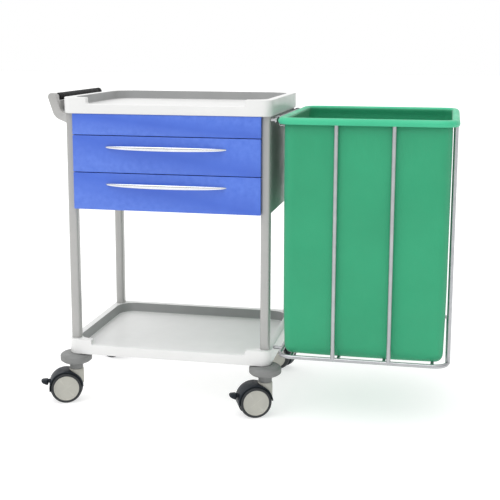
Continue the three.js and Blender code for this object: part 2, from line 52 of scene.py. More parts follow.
BODY_OF = {node: body for body, nodes in RECORD["behaviour"]["bodies"].items() for node in nodes}
SLOT_OF = {part["node"]: part["material_slot"] for part in RECORD["subparts"]}
JOINTS = {joint["name"]: joint for joint in frame["joints"]}
TRAY_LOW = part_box("upper_tray")[0]
ORIGIN = Vector((TRAY_LOW.x, TRAY_LOW.y, 0.0))


def to_row(point):
    return ORIGIN + Vector(point) * MM


def cart_box(node):
    """A node's lowest and highest corner in cart millimetres."""
    low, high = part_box(node)
    return (low - ORIGIN) / MM, (high - ORIGIN) / MM


def new_object(name, data):
    made = bpy.data.objects.new(name, data)
    bpy.context.scene.collection.objects.link(made)
    return made


# ------------------------------ camera, floor and light
CAMERA_AT = (1120.1, -2723.7, 1093.7)
CAMERA_TURN = math.radians(-11.64)  # from +Y towards +X
CAMERA_DOWN = math.radians(9.4)
CAMERA_ROLL = math.radians(0.18)
CAMERA_LENS = 70.87
CAMERA_SHIFT = (0.004, -0.09)
SKY_TOP = 1.35  # brightness straight up, against 1 behind the cart
SKY_FRONT = 0.62  # and level with it in front
SKY_RIGHT = 0.7  # share of that from the right
SKY_RISE = (0.05, 0.8)  # spans of the direction's Z, X and Y that these change over
SKY_TURN = (-0.2, 0.8)
SKY_BACK = (0.6, 0.86)
SUN_AIM = (0.3, 0.5, -1.0)
SUN_STRENGTH = 0.7
SUN_SOFTNESS = math.radians(50)
FLOOR_GLOW = 0.62  # keeps the pale floor's shadows faint
FLOOR_HALF = 30.0  # metres


def add_camera():
    lens = bpy.data.cameras.new("camera")
    lens.lens = CAMERA_LENS
    lens.sensor_width = 36
    lens.shift_x, lens.shift_y = CAMERA_SHIFT
    camera = new_object("camera", lens)
    flat = math.cos(CAMERA_DOWN)
    ahead = Vector((math.sin(CAMERA_TURN) * flat, math.cos(CAMERA_TURN) * flat, -math.sin(CAMERA_DOWN)))
    level = Vector((math.cos(CAMERA_TURN), -math.sin(CAMERA_TURN), 0))
    up = level.cross(ahead)
    right = level * math.cos(CAMERA_ROLL) + up * math.sin(CAMERA_ROLL)
    up = right.cross(ahead)
    turn = Matrix((right, up, -ahead)).transposed().to_4x4()
    camera.matrix_world = Matrix.Translation(to_row(CAMERA_AT)) @ turn
    bpy.context.scene.camera = camera


def add_sun():
    light = bpy.data.lights.new("key", "SUN")
    light.energy = SUN_STRENGTH
    light.angle = SUN_SOFTNESS
    sun = new_object("key", light)
    sun.rotation_mode = "QUATERNION"
    sun.rotation_quaternion = Vector(SUN_AIM).to_track_quat("-Z", "Y")


def shade(tree, source, span, levels):
    """The levels run smoothly from the first to the second over the source's span."""
    node = tree.nodes.new("ShaderNodeMapRange")
    node.interpolation_type = "SMOOTHSTEP"
    for name, value in zip(("From Min", "From Max", "To Min", "To Max"), (*span, *levels)):
        node.inputs[name].default_value = value
    tree.links.new(source, node.inputs["Value"])
    return node.outputs["Result"]


def blend(tree, operation, first, second):
    node = tree.nodes.new("ShaderNodeMath")
    node.operation = operation
    tree.links.new(first, node.inputs[0])
    tree.links.new(second, node.inputs[1])
    return node.outputs["Value"]


def add_sky():
    """White light from all round, brightest from above and from behind the cart."""
    world = bpy.data.worlds.new("studio")
    world.use_nodes = True
    tree = world.node_tree
    sky = tree.nodes["Background"]
    split = tree.nodes.new("ShaderNodeSeparateXYZ")
    tree.links.new(tree.nodes.new("ShaderNodeTexCoord").outputs["Generated"], split.inputs["Vector"])
    above = shade(tree, split.outputs["Z"], SKY_RISE, (SKY_FRONT, SKY_TOP))
    right = shade(tree, split.outputs["X"], SKY_TURN, (1.0, SKY_RIGHT))
    behind = shade(tree, split.outputs["Y"], SKY_BACK, (0.0, 1.0))
    lit = blend(tree, "MULTIPLY", above, right)
    tree.links.new(blend(tree, "MAXIMUM", lit, behind), sky.inputs["Strength"])
    sky.inputs["Color"].default_value = (1.0, 1.0, 1.0, 1)
    bpy.context.scene.world = world
    bpy.context.scene.view_settings.view_transform = "Standard"


def add_floor():
    mesh = bpy.data.meshes.new("floor")
    corners = [(x * FLOOR_HALF, y * FLOOR_HALF, 0) for x, y in ((-1, -1), (1, -1), (1, 1), (-1, 1))]
    mesh.from_pydata(corners, [], [(0, 1, 2, 3)])
    mesh.materials.append(pale_floor())
    floor = new_object("floor", mesh)


# ------------------------------ materials
PATCH_SPAN = (0.35, 0.65)  # of a noise, over which it runs from one tone to the other
WORN_SPAN = (0.53, 0.6)  # of the pointiness, from a flat face to a rubbed edge
WORN_SHARE = 0.8
WORN_PATCH = 60.0
WEAVE_PITCH = 0.0011  # metres from thread to thread


def rgb(red, green, blue):
    """An sRGB colour, 0 to 255, as linear values."""
    scaled = [value / 255 for value in (red, green, blue)]
    return [v / 12.92 if v <= 0.04045 else ((v + 0.055) / 1.055) ** 2.4 for v in scaled]


class Look:
    """A Principled material with helpers for its procedural inputs."""

    def __init__(self, name, metallic=0.0, coat=0.0, sheen=0.0, specular=0.5):
        self.material = bpy.data.materials.new(name)
        self.material.use_nodes = True
        self.tree = self.material.node_tree
        self.shader = self.tree.nodes["Principled BSDF"]
        self.shader.inputs["Metallic"].default_value = metallic
        self.shader.inputs["Coat Weight"].default_value = coat
        self.shader.inputs["Coat Roughness"].default_value = 0.12
        self.shader.inputs["Sheen Weight"].default_value = sheen
        self.shader.inputs["Sheen Roughness"].default_value = 0.5
        self.shader.inputs["Specular IOR Level"].default_value = specular
        self.place = self.add("ShaderNodeTexCoord").outputs["Object"]
        self.normal = None

    def add(self, kind, **settings):
        node = self.tree.nodes.new(kind)
        for key, value in settings.items():
            if hasattr(node, key):
                setattr(node, key, value)
            else:
                node.inputs[key.replace("_", " ").title()].default_value = value
        return node

    def link(self, source, target):
        self.tree.links.new(source, target)

    def stretched(self, scale):
        mapping = self.add("ShaderNodeMapping")
        mapping.inputs["Scale"].default_value = scale
        self.link(self.place, mapping.inputs["Vector"])
        return mapping.outputs["Vector"]

    def noise(self, scale, detail=2.0, stretch=None):
        node = self.add("ShaderNodeTexNoise", scale=scale, detail=detail)
        self.link(self.stretched(stretch) if stretch else self.place, node.inputs["Vector"])
        return node.outputs["Fac"]

    def ramp(self, source, low, high, span=PATCH_SPAN):
        node = self.add("ShaderNodeMapRange")
        for name, value in zip(("From Min", "From Max", "To Min", "To Max"), (*span, low, high)):
            node.inputs[name].default_value = value
        self.link(source, node.inputs["Value"])
        return node.outputs["Result"]

    def math(self, operation, first, second):
        node = self.add("ShaderNodeMath", operation=operation)
        for socket, value in zip(node.inputs, (first, second)):
            if isinstance(value, float):
                socket.default_value = value
            else:
                self.link(value, socket)
        return node.outputs["Value"]

    def mix(self, share, first, second):
        node = self.add("ShaderNodeMix", data_type="RGBA")
        self.link(share, node.inputs["Factor"])
        colours = [socket for socket in node.inputs if socket.type == "RGBA"]
        for socket, value in zip(colours, (first, second)):
            if isinstance(value, (list, tuple)):
                socket.default_value = (*value, 1)
            else:
                self.link(value, socket)
        return next(socket for socket in node.outputs if socket.type == "RGBA")

    def colour(self, first, second, patch, worn=None):
        """Two close tones in patches, and a third on the edges that hands and trolleys rub."""
        made = self.mix(self.ramp(self.noise(patch, 4.0), 0.0, 1.0), first, second)
        if worn is not None:
            edge = self.add("ShaderNodeNewGeometry").outputs["Pointiness"]
            rubbed = self.ramp(edge, 0.0, WORN_SHARE, WORN_SPAN)
            made = self.mix(self.math("MULTIPLY", rubbed, self.noise(WORN_PATCH, 3.0)), made, worn)
        self.link(made, self.shader.inputs["Base Color"])
        return self

    def roughness(self, low, high, patch, stretch=None):
        made = self.ramp(self.noise(patch, 3.0, stretch), low, high)
        self.link(made, self.shader.inputs["Roughness"])
        return self

    def bump(self, height, depth):
        """Adds a bump of this depth in metres on top of the ones before it."""
        node = self.add("ShaderNodeBump", strength=1.0, distance=depth)
        self.link(height, node.inputs["Height"])
        if self.normal is not None:
            self.link(self.normal, node.inputs["Normal"])
        self.normal = node.outputs["Normal"]
        self.link(self.normal, self.shader.inputs["Normal"])
        return self

    def grain(self, scale, depth, stretch=None):
        return self.bump(self.noise(scale, 2.0, stretch), depth)


def pale_floor():
    look = Look("pale_floor", specular=0.1)
    look.colour(rgb(190, 190, 189), rgb(187, 187, 187), 1.5).roughness(0.7, 0.8, 3.0)
    look.shader.inputs["Emission Color"].default_value = (1.0, 1.0, 1.0, 1.0)
    look.shader.inputs["Emission Strength"].default_value = FLOOR_GLOW
    return look.material


def moulded_tray():
    look = Look("moulded_tray")
    look.colour(rgb(228, 228, 227), rgb(225, 225, 224), 9.0, worn=rgb(238, 238, 237))
    return look.roughness(0.3, 0.42, 25.0).grain(900.0, 0.00003).material


def painted_wall_shade():
    """Painted shade: the inside of the trays' walls in a greyer copy of the tray plastic, for the shade that falls
    in the recesses.
    """
    look = Look("painted_wall_shade")
    look.colour(rgb(160, 161, 161), rgb(155, 156, 156), 12.0, worn=rgb(180, 180, 180))
    return look.roughness(0.32, 0.44, 25.0).grain(900.0, 0.00003).material


def powder_coat(name, first, second, worn, metallic=0.0, coat=0.0):
    look = Look(name, metallic=metallic, coat=coat)
    look.colour(first, second, 14.0, worn=worn).roughness(0.3, 0.42, 40.0)
    return look.grain(1400.0, 0.00002).grain(260.0, 0.00003).material


def plated(name, first, second, low, high):
    look = Look(name, metallic=1.0)
    look.colour(first, second, 30.0).roughness(low, high, 80.0)
    return look.grain(600.0, 0.000004).material


def drawn_zinc():
    look = Look("drawn_zinc", metallic=1.0)
    look.colour(rgb(176, 180, 184), rgb(158, 163, 169), 20.0).roughness(0.3, 0.5, 60.0, (4, 0.15, 4))
    return look.grain(500.0, 0.00002, (4, 0.1, 4)).material


def moulded(name, first, second, low, high, worn, specular=0.5):
    look = Look(name, specular=specular)
    look.colour(first, second, 30.0, worn=worn).roughness(low, high, 50.0)
    return look.grain(1100.0, 0.00004).material


def grip_rubber():
    look = Look("grip_rubber", specular=0.15)
    look.colour(rgb(24, 24, 25), rgb(18, 18, 19), 35.0, worn=rgb(48, 48, 49))
    return look.roughness(0.5, 0.62, 60.0).grain(1500.0, 0.00012).material


def coated_cloth(name, first, second):
    """A plain weave under a waterproof coat: fine threads both ways, and soft handling marks."""
    look = Look(name, sheen=0.12, specular=0.45)
    look.colour(first, second, 5.0, worn=rgb(84, 190, 142)).roughness(0.4, 0.55, 8.0)
    turns = 2 * math.pi / WEAVE_PITCH
    split = look.add("ShaderNodeSeparateXYZ")
    look.link(look.place, split.inputs["Vector"])
    across = look.math("ADD", split.outputs["X"], split.outputs["Y"])
    warp = look.math("SINE", look.math("MULTIPLY", across, turns), 0.0)
    weft = look.math("SINE", look.math("MULTIPLY", split.outputs["Z"], turns), 0.0)
    look.bump(look.math("MULTIPLY", warp, weft), 0.00006)
    return look.grain(55.0, 0.0006).material


MATERIALS = {
    "tray_white": moulded_tray(),
    "post_grey": powder_coat("post_paint", rgb(175, 174, 172), rgb(170, 170, 168), rgb(196, 196, 194),
                             metallic=0.2, coat=0.2),
    "cabinet_white": powder_coat("cabinet_paint", rgb(171, 171, 171), rgb(169, 169, 169),
                                 rgb(192, 192, 192)),
    "front_blue": powder_coat("front_paint", rgb(64, 104, 207), rgb(61, 100, 203), rgb(104, 140, 232),
                              coat=0.12),
    "handle_chrome": plated("satin_chrome", rgb(226, 228, 232), rgb(216, 219, 224), 0.16, 0.26),
    "slide_zinc": drawn_zinc(),
    "grip_black": grip_rubber(),
    "bumper_grey": moulded("bumper_rubber", rgb(128, 129, 128), rgb(120, 121, 120), 0.5, 0.62,
                           worn=rgb(146, 147, 146)),
    "housing_grey": moulded("housing_nylon", rgb(180, 179, 170), rgb(174, 173, 165), 0.4, 0.5,
                            worn=rgb(196, 195, 188)),
    "hood_black": moulded("hood_nylon", rgb(27, 34, 42), rgb(22, 29, 36), 0.4, 0.52,
                          worn=rgb(54, 62, 72), specular=0.25),
    "tread_black": moulded("tread_rubber", rgb(34, 38, 41), rgb(28, 32, 35), 0.45, 0.58,
                           worn=rgb(58, 62, 66)),
    "basket_steel": plated("plated_wire", rgb(184, 185, 187), rgb(176, 177, 180), 0.34, 0.44),
    "bag_green": coated_cloth("coated_cloth", rgb(38, 159, 113), rgb(34, 153, 108)),
}
# Painted shade for the trays' inner walls: a darker grey than the tray plastic
PAINTED_WALL_SHADE = painted_wall_shade()
# Painted highlight: a lighter copy of the bag's cloth for the hem roll, for the light that falls on its top
HEM_PAINTED_HIGHLIGHT = coated_cloth("hem_painted_highlight", rgb(60, 192, 144), rgb(54, 184, 137))


# ------------------------------ outlines in two dimensions
def rounded(corners, radius=0.0, steps=4, closed=True):
    """A line through corners, each turned into an arc. A corner is (u, v) or (u, v, its own radius)."""
    most = 0.499  # share of a side that one corner's arc may take
    made = []
    count = len(corners)
    for i, corner in enumerate(corners):
        here = Vector(corner[:2])
        size = corner[2] if len(corner) > 2 else radius
        if size == 0 or (not closed and i in (0, count - 1)):
            made.append(here)
            continue
        back = Vector(corners[i - 1][:2]) - here
        ahead = Vector(corners[(i + 1) % count][:2]) - here
        half = back.angle(ahead) / 2
        reach = min(size / math.tan(half), most * back.length, most * ahead.length)
        size = reach * math.tan(half)
        centre = here + (back.normalized() + ahead.normalized()).normalized() * (size / math.sin(half))
        first = here + back.normalized() * reach - centre
        last = here + ahead.normalized() * reach - centre
        turn = math.atan2(first.x * last.y - first.y * last.x, first.dot(last))
        for k in range(steps + 1):
            made.append(centre + Matrix.Rotation(turn * k / steps, 2) @ first)
    return made


def rectangle(x0, x1, y0, y1, radius, steps):
    return rounded([(x0, y0), (x1, y0), (x1, y1), (x0, y1)], radius, steps)


def circle(radius, steps, centre=(0, 0)):
    turns = [2 * math.pi * k / steps for k in range(steps)]
    return [Vector((centre[0] + radius * math.cos(a), centre[1] + radius * math.sin(a))) for a in turns]


def quarter(steps):
    """Angles over a right angle, both ends included."""
    return [math.pi / 2 * k / steps for k in range(steps + 1)]


def arc(centre, radius, start, end, steps):
    """Points on an arc between two angles, both ends included."""
    turns = [start + (end - start) * k / steps for k in range(steps + 1)]
    return [Vector(centre) + Vector((math.cos(a), math.sin(a))) * radius for a in turns]


def oval(power, steps):
    """The unit circle pushed out towards a square, the more the lower the power is below 1."""
    return [Vector((math.copysign(abs(p.x) ** power, p.x), math.copysign(abs(p.y) ** power, p.y)))
            for p in circle(1, steps)]


def shrunk(outline, distance):
    """A closed outline moved inwards by a distance."""
    count = len(outline)
    area = sum(outline[i - 1].x * outline[i].y - outline[i].x * outline[i - 1].y for i in range(count))
    side = 1 if area > 0 else -1
    made = []
    for i, here in enumerate(outline):
        back = (here - outline[i - 1]).normalized()
        ahead = (outline[(i + 1) % count] - here).normalized()
        inward = [Vector((-way.y, way.x)) * side for way in (back, ahead)]
        middle = (inward[0] + inward[1]).normalized()
        made.append(here + middle * (distance / max(0.5, middle.dot(inward[1]))))
    return made


def strip(path, thickness):
    """The outline of a bent strip that follows an open line."""
    sides = ([], [])
    for i, here in enumerate(path):
        way = (path[min(i + 1, len(path) - 1)] - path[max(i - 1, 0)]).normalized()
        across = Vector((-way.y, way.x)) * thickness / 2
        sides[0].append(here + across)
        sides[1].append(here - across)
    return sides[0] + sides[1][::-1]


def bezier(*controls, steps=8):
    """Points on a Bezier curve of any order, both ends included."""
    made = []
    for k in range(steps + 1):
        points = [Vector(control) for control in controls]
        while len(points) > 1:
            points = [a.lerp(b, k / steps) for a, b in zip(points, points[1:])]
        made.append(points[0])
    return made


# ------------------------------ solids
CREASE_ANGLE = math.radians(38)  # a steeper edge than this stays sharp in the shading
FLAT_ANGLE = math.radians(2)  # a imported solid's facets flatter than this are one face
SHARP_ANGLE = math.radians(30)  # and edges steeper than this get rounded
ALONG = {
    "y": lambda u, v, h: (u, h, v),
    "z": lambda u, v, h: (u, v, h),
}


class Shape:
    """Closed shells in cart millimetres that together make one piece."""

    def __init__(self, matrix=None):
        self.points = []
        self.faces = []
        self.matrix = matrix or Matrix.Identity(4)

    def loft(self, loops, ring=False):
        """Skins loops of equal length. A ring runs back into its first loop, else the ends are capped."""
        start = len(self.points)
        width = len(loops[0])
        rows = len(loops)
        for loop in loops:
            self.points.extend(self.matrix @ Vector(point) for point in loop)
        for i in range(rows if ring else rows - 1):
            here = start + i * width
            there = start + (i + 1) % rows * width
            for j in range(width):
                k = (j + 1) % width
                self.faces.append((here + j, here + k, there + k, there + j))
        if not ring:
            last = start + (rows - 1) * width
            self.faces.append(tuple(range(start, start + width)))
            self.faces.append(tuple(range(last, last + width)))
        return self

    def block(self, outline, axis, low, high, edge=1.0, steps=3, foot=None):
        """An outline stretched along an axis, its end edges rounded.

        foot(level) is where the outline's rightmost points lie instead, so that they meet another piece."""
        def level_outline(inset, level):
            right = max(p.x for p in outline)
            return [Vector((foot(level), p.y)) if foot and abs(q.x - right) < 0.01 else p
                    for p, q in zip(shrunk(outline, inset), outline)]

        ends = [(edge * (1 - math.sin(a)), edge * (1 - math.cos(a))) for a in quarter(steps)]
        levels = [(inset, low + rise) for inset, rise in ends]
        levels += [(inset, high - rise) for inset, rise in reversed(ends)]
        place = ALONG[axis]
        return self.loft([[place(p.x, p.y, level) for p in level_outline(inset, level)]
                          for inset, level in levels])

    def turned(self, profile, axis, centre, steps, ring=False):
        """A profile of (radius, height) points turned about an axis."""
        place = ALONG[axis]
        loops = [[place(p.x, p.y, height) for p in circle(radius, steps, centre)]
                 for radius, height in profile]
        return self.loft(loops, ring)

    def tube(self, path, radius, steps, ring=False):
        """A round bar along a path of 3-D points. radius is a number, or one for each point."""
        path = [Vector(point) for point in path]
        count = len(path)
        radii = radius if isinstance(radius, list) else [radius] * count
        loops = []
        side = None
        for i, here in enumerate(path):
            back = path[i - 1] if ring or i else here
            ahead = path[(i + 1) % count] if ring or i < count - 1 else here
            way = (ahead - back).normalized()
            if side is None:
                side = way.orthogonal().normalized()
            side = (side - way * side.dot(way)).normalized()
            other = way.cross(side)
            loops.append([here + side * p.x + other * p.y for p in circle(radii[i], steps)])
        return self.loft(loops, ring)


def show(name, mesh, node, slot=None):
    """A piece that rides with the node that it replaces and has its finish, or another slot's."""
    slot = slot or SLOT_OF[node]
    mesh.materials.clear()
    mesh.materials.append(MATERIALS[slot])
    piece = new_object(name, mesh)
    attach(piece, BODY_OF[node])
    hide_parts(node)
    return piece


def finish_solid(solid, mesh):
    """Writes a bmesh into a mesh, smooth but for its sharp edges."""
    bmesh.ops.recalc_face_normals(solid, faces=solid.faces)
    solid.to_mesh(mesh)
    solid.free()
    mesh.shade_smooth()
    mesh.set_sharp_from_angle(angle=CREASE_ANGLE)


def make(name, shape, node, slot=None):
    """One piece from a shape."""
    mesh = bpy.data.meshes.new(name)
    mesh.from_pydata([to_row(point) for point in shape.points], [], shape.faces)
    solid = bmesh.new()
    solid.from_mesh(mesh)
    bmesh.ops.remove_doubles(solid, verts=solid.verts, dist=1e-7)
    finish_solid(solid, mesh)
    return show(name, mesh, node, slot)


def soften(name, node, edge, steps=3):
    """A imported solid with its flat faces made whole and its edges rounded."""
    solid = bmesh.new()
    solid.from_mesh(frame["nodes"][node].data)
    bmesh.ops.remove_doubles(solid, verts=solid.verts, dist=1e-5)
    bmesh.ops.dissolve_limit(solid, angle_limit=FLAT_ANGLE, verts=solid.verts, edges=solid.edges)
    sharp = [e for e in solid.edges if e.is_manifold and e.calc_face_angle() > SHARP_ANGLE]
    bmesh.ops.bevel(solid, geom=sharp, offset=edge * MM, segments=steps, profile=0.5, affect="EDGES",
                    clamp_overlap=True)
    mesh = bpy.data.meshes.new(name)
    finish_solid(solid, mesh)
    return show(name, mesh, node)


# ------------------------------ trays
CART_WIDTH = cart_box("upper_tray")[1].x
CART_DEPTH = cart_box("upper_tray")[1].y
TRAY_CORNER = 28
RIM_WIDTH = 22
RECESS_CORNER = 50
RIM_ROUND = 1.6
FLOOR_ROUND = 5
TRAY_SKIN = 4
LIP_END = 74
LIP_ROUND = 8
LIP_TOP_ROUND = 2
FOOT_ROUND = 2  # the outer wall's lower edge
UNDER_BEVEL = 3  # where the floor's underside meets the wall
FLOOR_SHRINK = 0.6  # the recess is this much smaller at its floor
PAINTED_SHADE_SLOPE = 0.6  # faces that rise steeper than this and look inwards get the painted shade
PAINTED_SHADE_TURN = 0.3  # how far such a face may look outwards
PAINTED_SHADE_FRONT = 28  # the painted shade starts this far behind the front edge
TRAYS = {"upper_tray": (905, 913.5), "lower_tray": (168, 184)}  # floor and lowered lip


def lip_steps(rim, lip):
    """(x, height) down the left end of the lowered lip: a small round, then a larger one at its foot."""
    start = LIP_END - LIP_TOP_ROUND
    foot = LIP_ROUND - 0.4  # keeps every step to the right of the one before it
    made = [(start + LIP_TOP_ROUND * math.sin(a), rim - LIP_TOP_ROUND * (1 - math.cos(a)))
            for a in quarter(3)]
    made += [(LIP_END + LIP_ROUND - foot * math.cos(a), lip + LIP_ROUND * (1 - math.sin(a)))
             for a in quarter(5)]
    return made


def tray_plan(inset, lip_line):
    """Points round a tray at an inset from its outline, those on the lip's line first."""
    share = min(inset / RIM_WIDTH, 1)
    radius = TRAY_CORNER + (RECESS_CORNER - TRAY_CORNER) * share - max(0, inset - RIM_WIDTH)
    corners = [(CART_WIDTH - inset, inset), (CART_WIDTH - inset, CART_DEPTH - inset),
               (inset, CART_DEPTH - inset), (inset, inset)]
    return [Vector((x, inset)) for x, _ in lip_line] + rounded(corners, radius, 8)


def make_tray(node, floor, lip):
    low, high = cart_box(node)
    rim, bottom = high.z, low.z
    lip_line = lip_steps(rim, lip)
    lip_line += [(CART_WIDTH - x, top) for x, top in reversed(lip_line)]
    turns = quarter(4)
    loops = []

    def add(inset, height):
        """One loop round the tray. height(top) gives its height where the rim's top is at top."""
        plan = tray_plan(inset, lip_line)
        heights = [height(top) for _, top in lip_line]
        heights += [height(rim)] * (len(plan) - len(heights))
        loops.append([(p.x, p.y, z) for p, z in zip(plan, heights)])

    under = floor - TRAY_SKIN
    add(RIM_WIDTH + UNDER_BEVEL, lambda top: under)
    add(RIM_WIDTH, lambda top: under - UNDER_BEVEL)
    add(RIM_WIDTH, lambda top: bottom + 1)
    add(RIM_WIDTH - 1, lambda top: bottom)
    for a in turns[::2]:
        add(FOOT_ROUND * (1 - math.sin(a)), lambda top, a=a: bottom + FOOT_ROUND * (1 - math.cos(a)))
    for a in turns:
        add(RIM_ROUND * (1 - math.cos(a)), lambda top, a=a: top - RIM_ROUND * (1 - math.sin(a)))
    for a in turns:
        add(RIM_WIDTH - RIM_ROUND * (1 - math.sin(a)),
            lambda top, a=a: top - RIM_ROUND * (1 - math.cos(a)))
    for a in turns:
        add(RIM_WIDTH + FLOOR_SHRINK + FLOOR_ROUND * (1 - math.cos(a)),
            lambda top, a=a: floor + FLOOR_ROUND * (1 - math.sin(a)))
    tray = make(f"{node}_moulding", Shape().loft(loops), node)
    tray.data.materials.append(PAINTED_WALL_SHADE)
    # Painted shade: inward-facing wall faces above the floor and behind the front lip get the darker grey, for the
    # shade in the recess
    middle = to_row((CART_WIDTH / 2, CART_DEPTH / 2, floor + 1))
    for face in tray.data.polygons:
        away = face.center - middle
        inward = (face.normal.z < PAINTED_SHADE_SLOPE
                  and face.normal.xy.dot(away.xy.normalized()) < PAINTED_SHADE_TURN)
        behind_lip = away.y > -(CART_DEPTH / 2 - PAINTED_SHADE_FRONT) * MM
        face.material_index = 1 if inward and behind_lip and away.z > 0 else 0


# ------------------------------ posts
POST_ROUND = 8
POST_EDGE = 0.8


def make_posts():
    for end in ("front", "back"):
        for side in ("left", "right"):
            node = f"post_{end}_{side}"
            low, high = cart_box(node)
            outline = rectangle(low.x, high.x, low.y, high.y, POST_ROUND, 6)
            make(f"{node}_tube", Shape().block(outline, "z", low.z, high.z, POST_EDGE), node)


# ------------------------------ cabinet and drawers
PANEL_CORNER = 2.0
PANEL_EDGE = 1.6
SHEET_EDGE = 1.2
FOLD_EDGE = 0.8
CHANNEL_EDGE = 0.5
BAR_EDGE = 1.0
BOW_REACH = 30
BOW_THICK = 7
BOW_HALF_HEIGHT = (3, 6.5)  # at the feet and in the middle
BOW_FOOT = 16  # a foot's length along the front
BOW_SWEEP = (30, 50)  # from an end to the outer and inner curves' control points
BOW_FULL = 1.2  # control points' reach against the bow's
BOW_SQUARE = 0.8


def make_front(node):
    low, high = cart_box(node)
    outline = rectangle(low.x, high.x, low.z, high.z, PANEL_CORNER, 3)
    make(f"{node}_panel", Shape().block(outline, "y", low.y, high.y, PANEL_EDGE), node)


def make_bow(node):
    """A bow handle: an oval bar that swells and stands clear of the drawer in the middle."""
    low, high = cart_box(node)
    face = high.y
    z = (low.z + high.z) / 2
    steps = 44

    def curve(inset, sweep, reach):
        out = face - BOW_FULL * reach
        return bezier((low.x + inset, face), (low.x + sweep, out), (high.x - sweep, out),
                      (high.x - inset, face), steps=steps)

    outer = curve(0, BOW_SWEEP[0], BOW_REACH)
    inner = curve(BOW_FOOT, BOW_SWEEP[1], BOW_REACH - BOW_THICK)
    loops = []
    for k, (front, back) in enumerate(zip(outer, inner)):
        bulge = math.sin(math.pi * k / steps)
        half = BOW_HALF_HEIGHT[0] + (BOW_HALF_HEIGHT[1] - BOW_HALF_HEIGHT[0]) * bulge
        middle = (front + back) / 2
        reach = (front - back) / 2
        loops.append([(middle.x + reach.x * p.x, middle.y + reach.y * p.x, z + half * p.y)
                      for p in oval(BOW_SQUARE, 20)])
    make(f"{node}_bow", Shape().loft(loops), node)


def make_cabinet():
    for side in ("left", "right"):
        soften(f"cabinet_side_{side}_panel", f"cabinet_side_{side}", SHEET_EDGE)
    soften("cabinet_back_panel", "cabinet_back", SHEET_EDGE)
    soften("cabinet_floor_sheet", "cabinet_floor", FOLD_EDGE)
    make_front("fascia_panel")
    for level in ("upper", "lower"):
        make_front(f"drawer_front_{level}")
        make_bow(f"drawer_handle_{level}")
        soften(f"drawer_tub_{level}", f"drawer_box_{level}", FOLD_EDGE)
        for side in ("left", "right"):
            soften(f"slide_channel_{level}_{side}", f"slide_outer_{level}_{side}", CHANNEL_EDGE, 2)
            soften(f"slide_bar_{level}_{side}", f"slide_inner_{level}_{side}", BAR_EDGE)


# ------------------------------ push handle
GAP = 0.3  # between pieces that touch
GRIP_GROOVES = 4
GRIP_GROOVE_START = 14
GRIP_GROOVE_PITCH = 5
GRIP_GROOVE_DEPTH = 0.8
ARM_WIDTH = 22
ARM_EDGE = 2.2
ARM_FOOT = 857
ARM_HEAD_GAP = 0.6  # below the upper tray
BOSS_RADIUS = 9  # in the grip's near end
ARM_UNDER = [Vector((-14, 865)), Vector((-32, 872)), Vector((-37, 891))]
ARM_OUTSIDE = [Vector((-50, 930)), Vector((-50, 943.5)), Vector((-38, 944))]
ARM_TOP = [Vector((-38, 944)), Vector((-27, 944)), Vector((-25, 937))]
ARM_INSIDE = [Vector((-15, 904)), Vector((-9, 886))]
SADDLE_TOP = 925
SADDLE_SHARE = 0.14  # how far below the arm's shoulder the saddle's outer rim is
SADDLE_INSIDE = 0.37  # and how far down the arm's inner side its inner rim is
GUARD_FOOT = 862.8
GUARD_LINE = [Vector((-12.5, 869.8)), Vector((-29.2, 876.2)), Vector((-32, 892.5))]
GUARD_TOP = (-40.6, 917.9)
GUARD_THICK = 3


def saddle(centre, radius):
    """The hollow that carries the grip, from its outer to its inner edge."""
    low = math.asin((SADDLE_TOP - centre.y) / radius)
    return arc(centre, radius, math.pi - low, 2 * math.pi + low, 12)


def arm_outline(foot, top, grip=None):
    """An arm from its foot on the posts to its head, or to a saddle under grip, a (centre, radius)."""
    outline = [Vector((foot, ARM_FOOT)), *bezier(*ARM_UNDER, steps=8)]
    if grip is None:
        outline += bezier(*ARM_OUTSIDE, steps=8)
        outline += bezier(*ARM_TOP, steps=6)[1:]
    else:
        outline.append(ARM_OUTSIDE[0].lerp(ARM_UNDER[2], SADDLE_SHARE))
        outline += saddle(*grip)
        outline.append(ARM_TOP[2].lerp(ARM_INSIDE[0], SADDLE_INSIDE))
    outline += bezier(*ARM_INSIDE, (1, top), steps=8)
    outline.append(Vector((foot, top)))
    return outline


